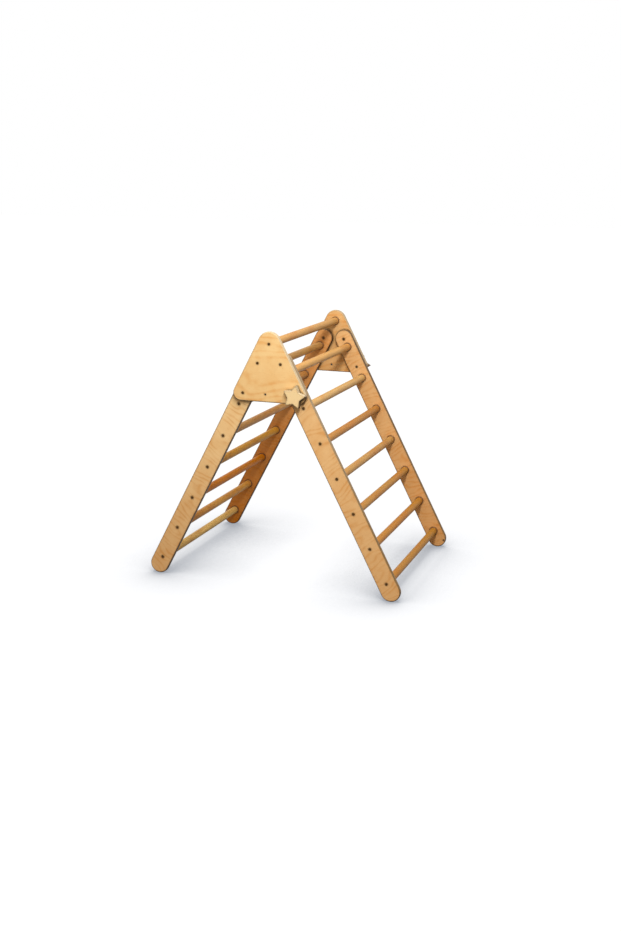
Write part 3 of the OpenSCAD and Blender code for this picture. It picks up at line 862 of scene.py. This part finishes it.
def studio_world(look):
    """Even light from all sides, which the camera sees as white."""
    world = bpy.data.worlds.new("Studio")
    world.use_nodes = True
    tree = world.node_tree
    tree.nodes.clear()
    seen = seen_as_backdrop(tree)
    strength = add(tree, "ShaderNodeMix", None,
                   {SHARE: seen.outputs[0], FIRST_NUMBER: look.sky, SECOND_NUMBER: 1.0})
    tone = add(tree, "ShaderNodeMix", COLOURS,
               {SHARE: seen.outputs[0], FIRST: look.sky_tint, SECOND: linear(WHITE)})
    sky = add(tree, "ShaderNodeBackground", None,
              {"Color": tone.outputs[MIXED], "Strength": strength.outputs[0]})
    output = add(tree, "ShaderNodeOutputWorld")
    tree.links.new(sky.outputs[0], output.inputs["Surface"])
    return world


class CLIMBER_OT_set_stage(bpy.types.Operator):
    """White floor, soft lamps, even light and the camera"""

    bl_idname = "climber.set_stage"
    bl_label = "Set the stage"

    def execute(self, context):
        scene, look = context.scene, context.scene.climber_stage
        half = 30.0
        ground = [(x * half, y * half, 0.0) for x, y in ((-1, -1), (1, -1), (1, 1), (-1, 1))]
        mesh = bpy.data.meshes.new("floor")
        mesh.from_pydata(ground, [], [(0, 1, 2, 3)])
        mesh.materials.append(white_paper(look))
        floor = bpy.data.objects.new("floor", mesh)
        scene.collection.objects.link(floor)

        scene.world = studio_world(look)
        soft_lamp("key_lamp", look.key, width=0.3, height=1.4, turn=-26.0,
                  azimuth=26.0, elevation=40.0, distance=2.4)
        soft_lamp("top_lamp", look.top, width=2.4, height=2.4, turn=0.0,
                  azimuth=20.0, elevation=84.0, distance=2.6)

        camera = bpy.data.objects.new("camera", bpy.data.cameras.new("camera"))
        scene.collection.objects.link(camera)
        target = Vector((look.target_x, 0, PIVOT.z - look.target_drop))
        camera.matrix_world = looking_at(target, look.azimuth, look.elevation, look.roll,
                                         look.distance)
        camera.data.sensor_width = 36
        camera.data.lens = look.lens
        camera.data.clip_end = 200
        scene.camera = camera
        scene.view_settings.view_transform = "Standard"
        return {"FINISHED"}


OPERATORS = (
    CLIMBER_OT_finish_plates,
    CLIMBER_OT_finish_rails,
    CLIMBER_OT_finish_stars,
    CLIMBER_OT_finish_rungs,
    CLIMBER_OT_finish_fittings,
    CLIMBER_OT_add_glue_beads,
    CLIMBER_OT_set_stage,
)
SETTINGS = {
    "climber_plywood": PlywoodSettings,
    "climber_dowel": DowelSettings,
    "climber_fittings": FittingSettings,
    "climber_stage": StageSettings,
}


class CLIMBER_PT_panel(bpy.types.Panel):
    """Lists the steps that dress the climbing triangle"""

    bl_idname = "CLIMBER_PT_panel"
    bl_label = "Climbing triangle"
    bl_space_type = "VIEW_3D"
    bl_region_type = "UI"
    bl_category = "Climbing triangle"

    def draw(self, context):
        for operator in OPERATORS:
            self.layout.operator(operator.bl_idname)
        for name, group in SETTINGS.items():
            box = self.layout.box()
            for prop in group.__annotations__:
                box.prop(getattr(context.scene, name), prop)


def register():
    for group in SETTINGS.values():
        bpy.utils.register_class(group)
    for name, group in SETTINGS.items():
        setattr(bpy.types.Scene, name, bpy.props.PointerProperty(type=group))
    for operator in OPERATORS:
        bpy.utils.register_class(operator)
    bpy.utils.register_class(CLIMBER_PT_panel)


def unregister():
    bpy.utils.unregister_class(CLIMBER_PT_panel)
    for operator in reversed(OPERATORS):
        bpy.utils.unregister_class(operator)
    for name, group in SETTINGS.items():
        delattr(bpy.types.Scene, name)
        bpy.utils.unregister_class(group)


def main():
    register()
    bpy.ops.climber.finish_plates()
    bpy.ops.climber.finish_rails()
    bpy.ops.climber.finish_stars()
    bpy.ops.climber.finish_rungs()
    bpy.ops.climber.finish_fittings()
    bpy.ops.climber.add_glue_beads()
    bpy.ops.climber.set_stage()


if __name__ == "__main__":
    main()
